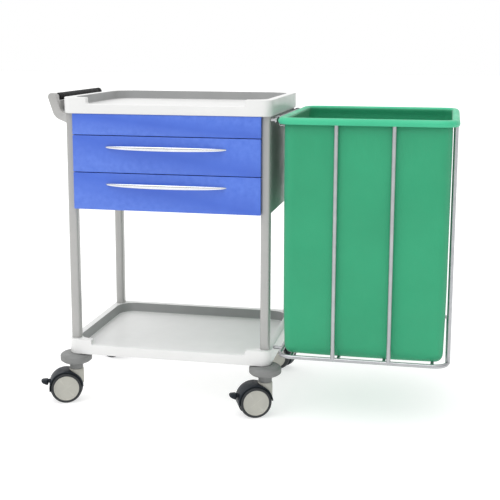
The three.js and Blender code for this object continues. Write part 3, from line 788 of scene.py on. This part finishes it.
def make_handle():
    grip_low, grip_high = cart_box("handle_grip")
    x, z = (grip_low.x + grip_high.x) / 2, (grip_low.z + grip_high.z) / 2
    radius = (grip_high.z - grip_low.z) / 2
    post = cart_box("post_front_left")[0]
    foot = post.x - GAP

    def post_face(y):
        """Just outside the post's left face and its rounded front corner."""
        into = max(0.0, post.y + POST_ROUND - y)
        return foot + POST_ROUND - math.sqrt(POST_ROUND ** 2 - into ** 2)

    top = cart_box("upper_tray")[0].z - ARM_HEAD_GAP
    low, high = cart_box("handle_arm_front")
    arm = Shape().block(arm_outline(foot, top), "y", low.y, low.y + ARM_WIDTH, ARM_EDGE, 4, post_face)
    arm.turned([(BOSS_RADIUS, low.y + ARM_WIDTH - 1), (BOSS_RADIUS, high.y)], "y", (x, z), 32)
    make("handle_arm_front_casting", arm, "handle_arm_front")
    low, high = cart_box("handle_arm_back")
    outline = arm_outline(high.x, top, (Vector((x, z)), radius + GAP))
    arm = Shape().block(outline, "y", low.y, high.y, foot=lambda y: high.x)
    make("handle_arm_back_casting", arm, "handle_arm_back")

    profile = [(radius - 3, grip_low.y), (radius - 1, grip_low.y + 0.6), (radius, grip_low.y + 2.5)]
    for k in range(GRIP_GROOVES):
        y = grip_low.y + GRIP_GROOVE_START + k * GRIP_GROOVE_PITCH
        bed = radius - GRIP_GROOVE_DEPTH
        profile += [(radius, y), (bed, y + 0.7), (bed, y + 1.5), (radius, y + 2.2)]
    span = grip_low.y + grip_high.y
    profile += [(size, span - y) for size, y in reversed(profile)]
    make("handle_grip_sleeve", Shape().turned(profile, "y", (x, z), 40), "handle_grip")

    low, high = cart_box("handle_guard")
    line = [Vector((foot, GUARD_FOOT)), *bezier(*GUARD_LINE, steps=8), Vector(GUARD_TOP)]
    guard = Shape().block(strip(line, GUARD_THICK), "y", low.y, high.y, 0.8)
    make("handle_guard_plate", guard, "handle_guard")


# ------------------------------ casters
CASTER_TRAIL = 32.5
WHEEL_RADIUS = 47.5
WHEEL_HALF = 32
WHEEL_INNER = 10
TYRE_RING = 9
HOOD_RADIUS = 50.5
HOOD_HALF = 9.6
HOOD_BOTTOM = 18
HOOD_EDGE = 1.2
FENDER = {"inner": 48.5, "outer": 51.8, "half": 30, "ends": (4, 190)}  # radii, and degrees from the stem
FENDER_EDGE = 1.1
EAR = {"inner": 7.2, "outer": 10.4, "radius": 3.2}  # two on the hood, beside the pedal's barrel
EAR_EDGE = 0.6
CORE = 0.5  # radius of a turned piece's capped middle
STEM_RADIUS = 22
STEM_BOTTOM = 55
STEM_EDGE = 1.2
STEM_FLAT = 0.4  # the least that its hollow side is cut back
PEDAL_Z = 65
PEDAL_HINGE = 83.8  # the hinge line's distance from the swivel axis
PEDAL_BARREL = 2.2  # radius of the root, just clear of the fender
PEDAL_NECK = 89
PEDAL_TIP = 108
PEDAL_HALF = (6.9, 12.7)  # half width at the hinge and beyond it
PEDAL_SHOULDER = (3.6, 6.8)  # it widens from the first to the second this far from the hinge
PEDAL_TOP = 6.8  # above and below the hinge line
PEDAL_BOTTOM = -12.7
PEDAL_NOSE = 7  # length of the rounded end
PEDAL_FALL = 1.5  # of its top by the tip
PEDAL_RISE = 9.5  # of its underside by the tip
PEDAL_SQUARE = 0.6


def bumper_profile(low, high):
    """(radius, height) from the neck's foot, out to the disc's edge and over it."""
    disc = [(CORE, low, 0), (18.5, low, 0), (20, low + 1.5, 0), (20, low + 10, 1), (21.5, low + 10.8, 1),
            (21.5, low + 17, 3), (41, low + 22.5, 4), (48, low + 28, 4), (48, low + 43, 4), (42, low + 48, 3),
            (25, low + 49.4, 2), (24, high, 0), (CORE, high, 0)]
    return [(p.x, p.y) for p in rounded(disc, steps=4, closed=False)]


def fork_loops(low, high):
    """The stem housing: a round post hollowed on one side to the fender's curve."""
    loops = []
    levels = 16
    reach = FENDER["outer"] + GAP
    for k in range(levels + 1):
        z = low + (high - low) * k / levels
        depth = reach ** 2 - (z - WHEEL_RADIUS) ** 2
        wall = -CASTER_TRAIL + math.sqrt(depth) if depth > 0 else -STEM_RADIUS
        wall = max(wall, STEM_FLAT - STEM_RADIUS)
        edge = STEM_EDGE if k in (0, levels) else 0
        radius = STEM_RADIUS - edge
        spread = math.acos(max(-1, min(1, (wall + edge) / radius)))
        loop = arc((0, 0), radius, -spread, spread, 28)
        loop += [loop[-1].lerp(loop[0], i / 8) for i in range(1, 8)]
        loops.append([(*point, z) for point in loop])
    return loops


def wheel_profiles(side):
    """(tyre, disc) profiles of (radius, offset) points, the tyre's running back into its start."""
    bead = WHEEL_RADIUS - TYRE_RING
    tyre = [(bead, WHEEL_HALF - 1.2, 0), (bead, WHEEL_HALF - 0.1, 0.6),
            (WHEEL_RADIUS - 2.5, WHEEL_HALF - 0.6, 2.4), (WHEEL_RADIUS, WHEEL_HALF - 6, 4),
            (WHEEL_RADIUS, WHEEL_INNER + 4, 3), (WHEEL_RADIUS - 4, WHEEL_INNER + 0.1, 1),
            (bead, WHEEL_INNER + 0.1, 0)]
    rim = bead - 0.2
    disc = [(CORE, WHEEL_INNER + 2, 0), (rim, WHEEL_INNER + 2, 0), (rim, WHEEL_HALF - 0.2, 0.8),
            (rim - 3.6, WHEEL_HALF - 0.2, 0.8), (rim - 4.6, WHEEL_HALF - 1.5, 0.8),
            (12, WHEEL_HALF - 0.9, 0), (CORE, WHEEL_HALF - 0.8, 0)]
    return [[(p.x, side * p.y) for p in rounded(profile, steps=3, closed=False)] for profile in (tyre, disc)]


def pedal_loops():
    """Rounded sections from the hinge out to the tip: a barrel, then a flap that hangs down.

    Its underside slopes away from the barrel, so that it clears the fender when the pedal is pressed."""
    loops = []
    steps = 28
    root = PEDAL_HINGE - PEDAL_BARREL
    for k in range(steps + 1):
        x = root + (PEDAL_TIP - root) * (k / steps) ** 1.2
        out = max(0.0, x - PEDAL_HINGE)
        barrel = math.sqrt(max(0.1, PEDAL_BARREL ** 2 - min(0.0, x - PEDAL_HINGE) ** 2))
        neck = min(1.0, out / (PEDAL_NECK - PEDAL_HINGE))
        far = max(0.0, (x - PEDAL_NECK) / (PEDAL_TIP - PEDAL_NECK))
        nose = math.sqrt(max(0.0, 1 - max(0.0, (x - PEDAL_TIP + PEDAL_NOSE) / PEDAL_NOSE) ** 2))
        wide = min(1.0, max(0.0, out - PEDAL_SHOULDER[0]) / (PEDAL_SHOULDER[1] - PEDAL_SHOULDER[0]))
        half = PEDAL_HALF[0] + (PEDAL_HALF[1] - PEDAL_HALF[0]) * math.sin(math.pi / 2 * wide)
        half = max(0.8, half * (0.3 + 0.7 * nose))
        top = barrel + (PEDAL_TOP - PEDAL_BARREL) * math.sin(math.pi / 2 * neck) - PEDAL_FALL * far ** 2
        bottom = -barrel + (PEDAL_BOTTOM + PEDAL_BARREL) * neck + PEDAL_RISE * far ** 1.2
        thick = max(0.6, (top - bottom) / 2 * (0.35 + 0.65 * nose))
        middle = PEDAL_Z + (top + bottom) / 2
        loops.append([(-x, half * p.x, middle + thick * p.y) for p in oval(PEDAL_SQUARE, 24)])
    return loops


def make_caster(end, side):
    tag = f"{end}_{side}"
    low, high = cart_box(f"caster_bumper_{tag}")
    centre = (low + high) / 2
    axle = JOINTS[f"caster_{tag}_roll"]["axis"]
    turn = math.atan2(axle[0], -axle[1])
    place = Matrix.Translation((centre.x, centre.y, 0)) @ Matrix.Rotation(turn, 4, "Z")
    wheel = (-CASTER_TRAIL, WHEEL_RADIUS)

    bumper = Shape(place).turned(bumper_profile(low.z, high.z), "z", (0, 0), 64)
    make(f"bumper_disc_{tag}", bumper, f"caster_bumper_{tag}")
    stem_top = cart_box(f"caster_fork_{tag}")[1].z
    make(f"stem_housing_{tag}", Shape(place).loft(fork_loops(STEM_BOTTOM, stem_top)), f"caster_fork_{tag}")

    cut = math.asin((WHEEL_RADIUS - HOOD_BOTTOM) / HOOD_RADIUS)
    outline = arc(wheel, HOOD_RADIUS, -cut, math.pi + cut, 56)
    hood = Shape(place).block(outline, "y", -HOOD_HALF, HOOD_HALF, HOOD_EDGE)
    first, last = (math.radians(angle) for angle in FENDER["ends"])
    band = arc(wheel, FENDER["outer"], first, last, 48) + arc(wheel, FENDER["inner"], last, first, 48)
    hood.block(band, "y", -FENDER["half"], FENDER["half"], FENDER_EDGE)
    if end == "front":
        section = circle(EAR["radius"], 24, (-PEDAL_HINGE, PEDAL_Z))
        hood.block(section, "y", EAR["inner"], EAR["outer"], EAR_EDGE)
        hood.block(section, "y", -EAR["outer"], -EAR["inner"], EAR_EDGE)
    make(f"wheel_hood_{tag}", hood, f"caster_hood_{tag}")

    tyres, discs = Shape(place), Shape(place)
    for half in (-1, 1):
        tyre, disc = wheel_profiles(half)
        tyres.turned(tyre, "y", wheel, 72, ring=True)
        discs.turned(disc, "y", wheel, 72)
    make(f"wheel_tyres_{tag}", tyres, f"caster_wheel_{tag}")
    make(f"wheel_discs_{tag}", discs, f"caster_wheel_{tag}", "housing_grey")
    if end == "front":
        make(f"pedal_lever_{tag}", Shape(place).loft(pedal_loops()), f"brake_pedal_{tag}")


# ------------------------------ rail, hooks and basket
WIRE = 6
STRAP = 3
RING_CORNER = 38
RING_STEPS = 10
HOOK_TIP = 866.5
HOOK_INSET = 52  # from the cart's front and back
HOOK_HALF = 9
HOOK_PLAY = 1.5  # between the hooks and the rail
CROSS_AT = (692, 827, 957, 1092)
CROSS_WIRE = 5
CROSS_DROP = 2  # below the base ring's centre line
STUB_INSET = 46
STUB_GAP = 1.5  # short of the cart's side
UPRIGHT_TIP = 5  # below the base ring's centre line
UPRIGHT_PROUD = 1.5  # outside the rings' centre line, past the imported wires
DOME_LEAST = 0.05  # radius at the tip of a round end


def basket_edges():
    """x1, y0, y1 of the rings' centre line and the heights of the base and top rings."""
    right = cart_box("basket_wire_right_1")[1].x - WIRE
    front = cart_box("basket_wire_front_1")[0].y + WIRE
    back = cart_box("basket_wire_back_1")[1].y - WIRE
    bars_low, bars_high = cart_box("basket_wire_front_1")
    return right, front, back, bars_low.z - WIRE - GAP, bars_high.z + WIRE + GAP


def ring_path(x0, x1, y0, y1, corner, z):
    return [(p.x, p.y, z) for p in rectangle(x0, x1, y0, y1, corner, RING_STEPS)]


BASKET = dict(zip(("x1", "y0", "y1", "base", "top"), basket_edges()))
BASKET["x0"] = 656


def round_ended(start, end, radius, caps=(True, True)):
    """Centre points and radii of a bar with domed ends."""
    start, end = Vector(start), Vector(end)
    way = (end - start).normalized()
    dome = [(radius * (1 - math.sin(a)), max(DOME_LEAST, radius * math.cos(a)))
            for a in reversed(quarter(5))]
    path = [(start + way * along, size) for along, size in dome] if caps[0] else [(start, radius)]
    path += [(end - way * along, size) for along, size in reversed(dome)] if caps[1] else [(end, radius)]
    return [point for point, _ in path], [size for _, size in path]


def make_basket():
    x0, x1, y0, y1 = (BASKET[key] for key in ("x0", "x1", "y0", "y1"))
    ring = Shape().tube(ring_path(x0, x1, y0, y1, RING_CORNER, BASKET["top"]), WIRE, 20, ring=True)
    make("top_ring_wire", ring, "basket_top_ring")

    low, high = cart_box("basket_top_ring")
    rail_face = cart_box("hanger_rail")[1].x
    hooks = Shape()
    inner = low.x + STRAP / 2
    outer = rail_face + HOOK_PLAY + STRAP / 2
    foot = low.z + STRAP / 2
    over = high.z - STRAP / 2
    line = rounded([(inner, HOOK_TIP), (inner, over, 3), (outer, over, 3), (outer, foot, 4), (x0, foot, 4),
                    (x0, BASKET["top"] - 3)], steps=6, closed=False)
    for y in (HOOK_INSET, CART_DEPTH - HOOK_INSET):
        hooks.block(strip(line, STRAP), "y", y - HOOK_HALF, y + HOOK_HALF, 0.7, 2)
    make("hanger_hooks", hooks, "basket_top_ring")

    base = Shape().tube(ring_path(x0, x1, y0, y1, RING_CORNER, BASKET["base"]), WIRE, 20, ring=True)
    make("base_ring_wire", base, "basket_base")
    cross = Shape()
    z = BASKET["base"]
    for x in CROSS_AT:
        cross.tube(*round_ended((x, y0, z - CROSS_DROP), (x, y1, z - CROSS_DROP), CROSS_WIRE), 16)
    for y in (STUB_INSET, CART_DEPTH - STUB_INSET):
        cross.tube(*round_ended((CART_WIDTH + STUB_GAP, y, z), (x0, y, z), CROSS_WIRE), 14)
    make("base_cross_wires", cross, "basket_base")

    for side, count, outward in (("front", 2, (0, -1)), ("back", 2, (0, 1)), ("right", 4, (1, 0))):
        for number in range(1, count + 1):
            node = f"basket_wire_{side}_{number}"
            low, high = cart_box(node)
            x, y = (low.xy + high.xy) / 2 + Vector(outward) * UPRIGHT_PROUD
            bar = round_ended((x, y, z - UPRIGHT_TIP), (x, y, BASKET["top"]), WIRE, (True, False))
            make(f"upright_wire_{side}_{number}", Shape().tube(*bar, 16), node)
    soften("hanger_rail_bar", "hanger_rail", BAR_EDGE)


# ------------------------------ bag
HEM_RADIUS = 10.8
HEM_CURL = (math.radians(-42), math.radians(168))  # from under the ring's outside, over it
BAG_INSET = 7.9  # from the rings' centre line to the cloth
BAG_TAPER = 4.6  # further in at the bottom
BAG_TAPER_FROM = 420  # the wall starts to draw in at this height
BAG_TAPER_POWER = 1.6
BAG_WALL_TOP = 14  # below the top ring's centre line
BAG_BOTTOM = 207.2
BAG_ROUND = 28
BOTTOM_ROWS = 16
BOTTOM_HALF = 10  # half the width of the bottom's middle face
CLOTH_STEP = 11.0
CLOTH_THICK = 1.4
CLOTH_FRAMES = 24
HEM_ROWS = 18  # rows of cloth in the hem's roll
HELD_ROWS = 26  # rows that the simulation leaves alone
MOST_OUT = 0.0018  # metres that the cloth may move outwards and inwards
MOST_IN = 0.0075
ALONG_SHARE = 0.5  # of its moves within its own surface


def bag_profile():
    """(outward, height) down the cloth: under the hem's outside, over the ring and down the wall."""
    top = BASKET["top"]
    made = arc((0, top), HEM_RADIUS, *HEM_CURL, 20)
    wall_end = Vector((-BAG_INSET - BAG_TAPER, BAG_BOTTOM + BAG_ROUND))
    first = Vector((-BAG_INSET, top - BAG_WALL_TOP))
    made += bezier(made[-1], made[-1] + Vector((-0.2, -4)), first, steps=3)[1:]
    rows = round((first.y - wall_end.y) / CLOTH_STEP)
    for k in range(1, rows + 1):
        height = first.y + (wall_end.y - first.y) * k / rows
        low = max(0.0, (BAG_TAPER_FROM - height) / (BAG_TAPER_FROM - wall_end.y))
        made.append(Vector((-BAG_INSET - BAG_TAPER * low ** BAG_TAPER_POWER, height)))
    return made + arc(wall_end - Vector((BAG_ROUND, 0)), BAG_ROUND, 0, -math.pi / 2, 5)[1:]


def bag_loop(outward):
    """A level loop of evenly spaced points at an offset from the rings' centre line."""
    x0, x1 = BASKET["x0"] - outward, BASKET["x1"] + outward
    y0, y1 = BASKET["y0"] - outward, BASKET["y1"] + outward
    radius = max(RING_CORNER + outward, 6)
    corners = [(x1 - radius, y0 + radius), (x1 - radius, y1 - radius), (x0 + radius, y1 - radius),
               (x0 + radius, y0 + radius)]
    right = math.pi / 2
    arcs = [arc(corner, radius, (i - 1) * right, i * right, 6) for i, corner in enumerate(corners)]
    made = []
    for i, points in enumerate(arcs):
        length = BASKET["x1"] - BASKET["x0"] if i % 2 else BASKET["y1"] - BASKET["y0"]
        count = round((length - 2 * RING_CORNER) / CLOTH_STEP)
        after = arcs[(i + 1) % 4][0]
        made += points + [points[-1].lerp(after, k / count) for k in range(1, count)]
    return made


def bag_shell():
    """(points, faces, points in a row, rows down to the bottom) of the bag as one skin."""
    profile = bag_profile()
    loops = [[(p.x, p.y, row.y) for p in bag_loop(row.x)] for row in profile]
    wall_rows = len(loops)
    inset = profile[-1].x
    innermost = BOTTOM_HALF - (BASKET["x1"] - BASKET["x0"]) / 2
    for k in range(1, BOTTOM_ROWS):
        outward = inset + (innermost - inset) * k / BOTTOM_ROWS
        loops.append([(p.x, p.y, BAG_BOTTOM) for p in bag_loop(outward)])
    points = [to_row(point) for loop in loops for point in loop]
    width = len(loops[0])
    faces = []
    for i in range(len(loops) - 1):
        for j in range(width):
            k = (j + 1) % width
            faces.append((i * width + j, i * width + k, (i + 1) * width + k, (i + 1) * width + j))
    last = (len(loops) - 1) * width
    faces.append(tuple(range(last, last + width)))
    return points, faces, width, wall_rows


def hang_cloth(piece, width, wall_rows):
    """Lets the walls hang by cloth simulation. Returns where each point was and how it moved."""
    rest = np.array([vertex.co for vertex in piece.data.vertices])
    held = piece.vertex_groups.new(name="held")
    first, last = HELD_ROWS * width, (wall_rows - 1) * width
    held.add([i for i in range(len(rest)) if i < first or i >= last], 1.0, "REPLACE")
    cloth = piece.modifiers.new("Cloth", "CLOTH")
    settings = cloth.settings
    settings.vertex_group_mass = "held"
    settings.quality = 6
    settings.mass = 0.4
    settings.tension_stiffness = 30
    settings.compression_stiffness = 30
    settings.shear_stiffness = 12
    settings.bending_stiffness = 4
    settings.shrink_min = -0.006
    settings.use_pressure = True
    settings.uniform_pressure_force = 0.6
    scene = bpy.context.scene
    cloth.point_cache.frame_start = 1
    cloth.point_cache.frame_end = CLOTH_FRAMES
    for step in range(CLOTH_FRAMES):
        scene.frame_set(step + 1)
    shaped = piece.evaluated_get(bpy.context.evaluated_depsgraph_get())
    moved = np.array([vertex.co for vertex in shaped.data.vertices]) - rest
    piece.modifiers.remove(cloth)
    scene.frame_set(1)
    return rest, moved


def settle(piece, rest, moved):
    """Keeps the cloth's moves small, and smaller outwards, where the wires are, than inwards."""
    normals = np.array([vertex.normal for vertex in piece.data.vertices])
    out = (moved * normals).sum(1)
    limit = np.where(out > 0, MOST_OUT, MOST_IN)
    kept = limit * np.tanh(out / limit)
    along = moved - out[:, None] * normals
    placed = rest + kept[:, None] * normals + ALONG_SHARE * along
    piece.data.vertices.foreach_set("co", placed.astype(np.float32).ravel())
    piece.data.update()


def make_bag():
    points, faces, width, wall_rows = bag_shell()
    mesh = bpy.data.meshes.new("laundry_bag_cloth")
    mesh.from_pydata(points, [], faces)
    skin = bmesh.new()
    skin.from_mesh(mesh)
    bmesh.ops.recalc_face_normals(skin, faces=skin.faces)
    skin.to_mesh(mesh)
    skin.free()
    piece = show("laundry_bag_cloth", mesh, "laundry_bag")
    rest, moved = hang_cloth(piece, width, wall_rows)
    settle(piece, rest, moved)
    mesh.shade_smooth()
    # The hem roll's faces above the hem's foot get the lighter cloth, a painted highlight
    mesh.materials.append(HEM_PAINTED_HIGHLIGHT)
    hem_foot = (BASKET["top"] - HEM_RADIUS) * MM
    for face in mesh.polygons:
        face.material_index = 1 if face.center.z > hem_foot and face.index < HEM_ROWS * width else 0
    finer = piece.modifiers.new("Subsurf", "SUBSURF")
    finer.levels = finer.render_levels = 1
    skin = piece.modifiers.new("Solidify", "SOLIDIFY")
    skin.thickness = CLOTH_THICK * MM
    skin.offset = 0


# ------------------------------ the whole
add_camera()
add_sky()
add_sun()
add_floor()
for tray_node, levels in TRAYS.items():
    make_tray(tray_node, *levels)
make_posts()
make_cabinet()
make_handle()
for caster_end in ("front", "back"):
    for caster_side in ("left", "right"):
        make_caster(caster_end, caster_side)
make_basket()
make_bag()
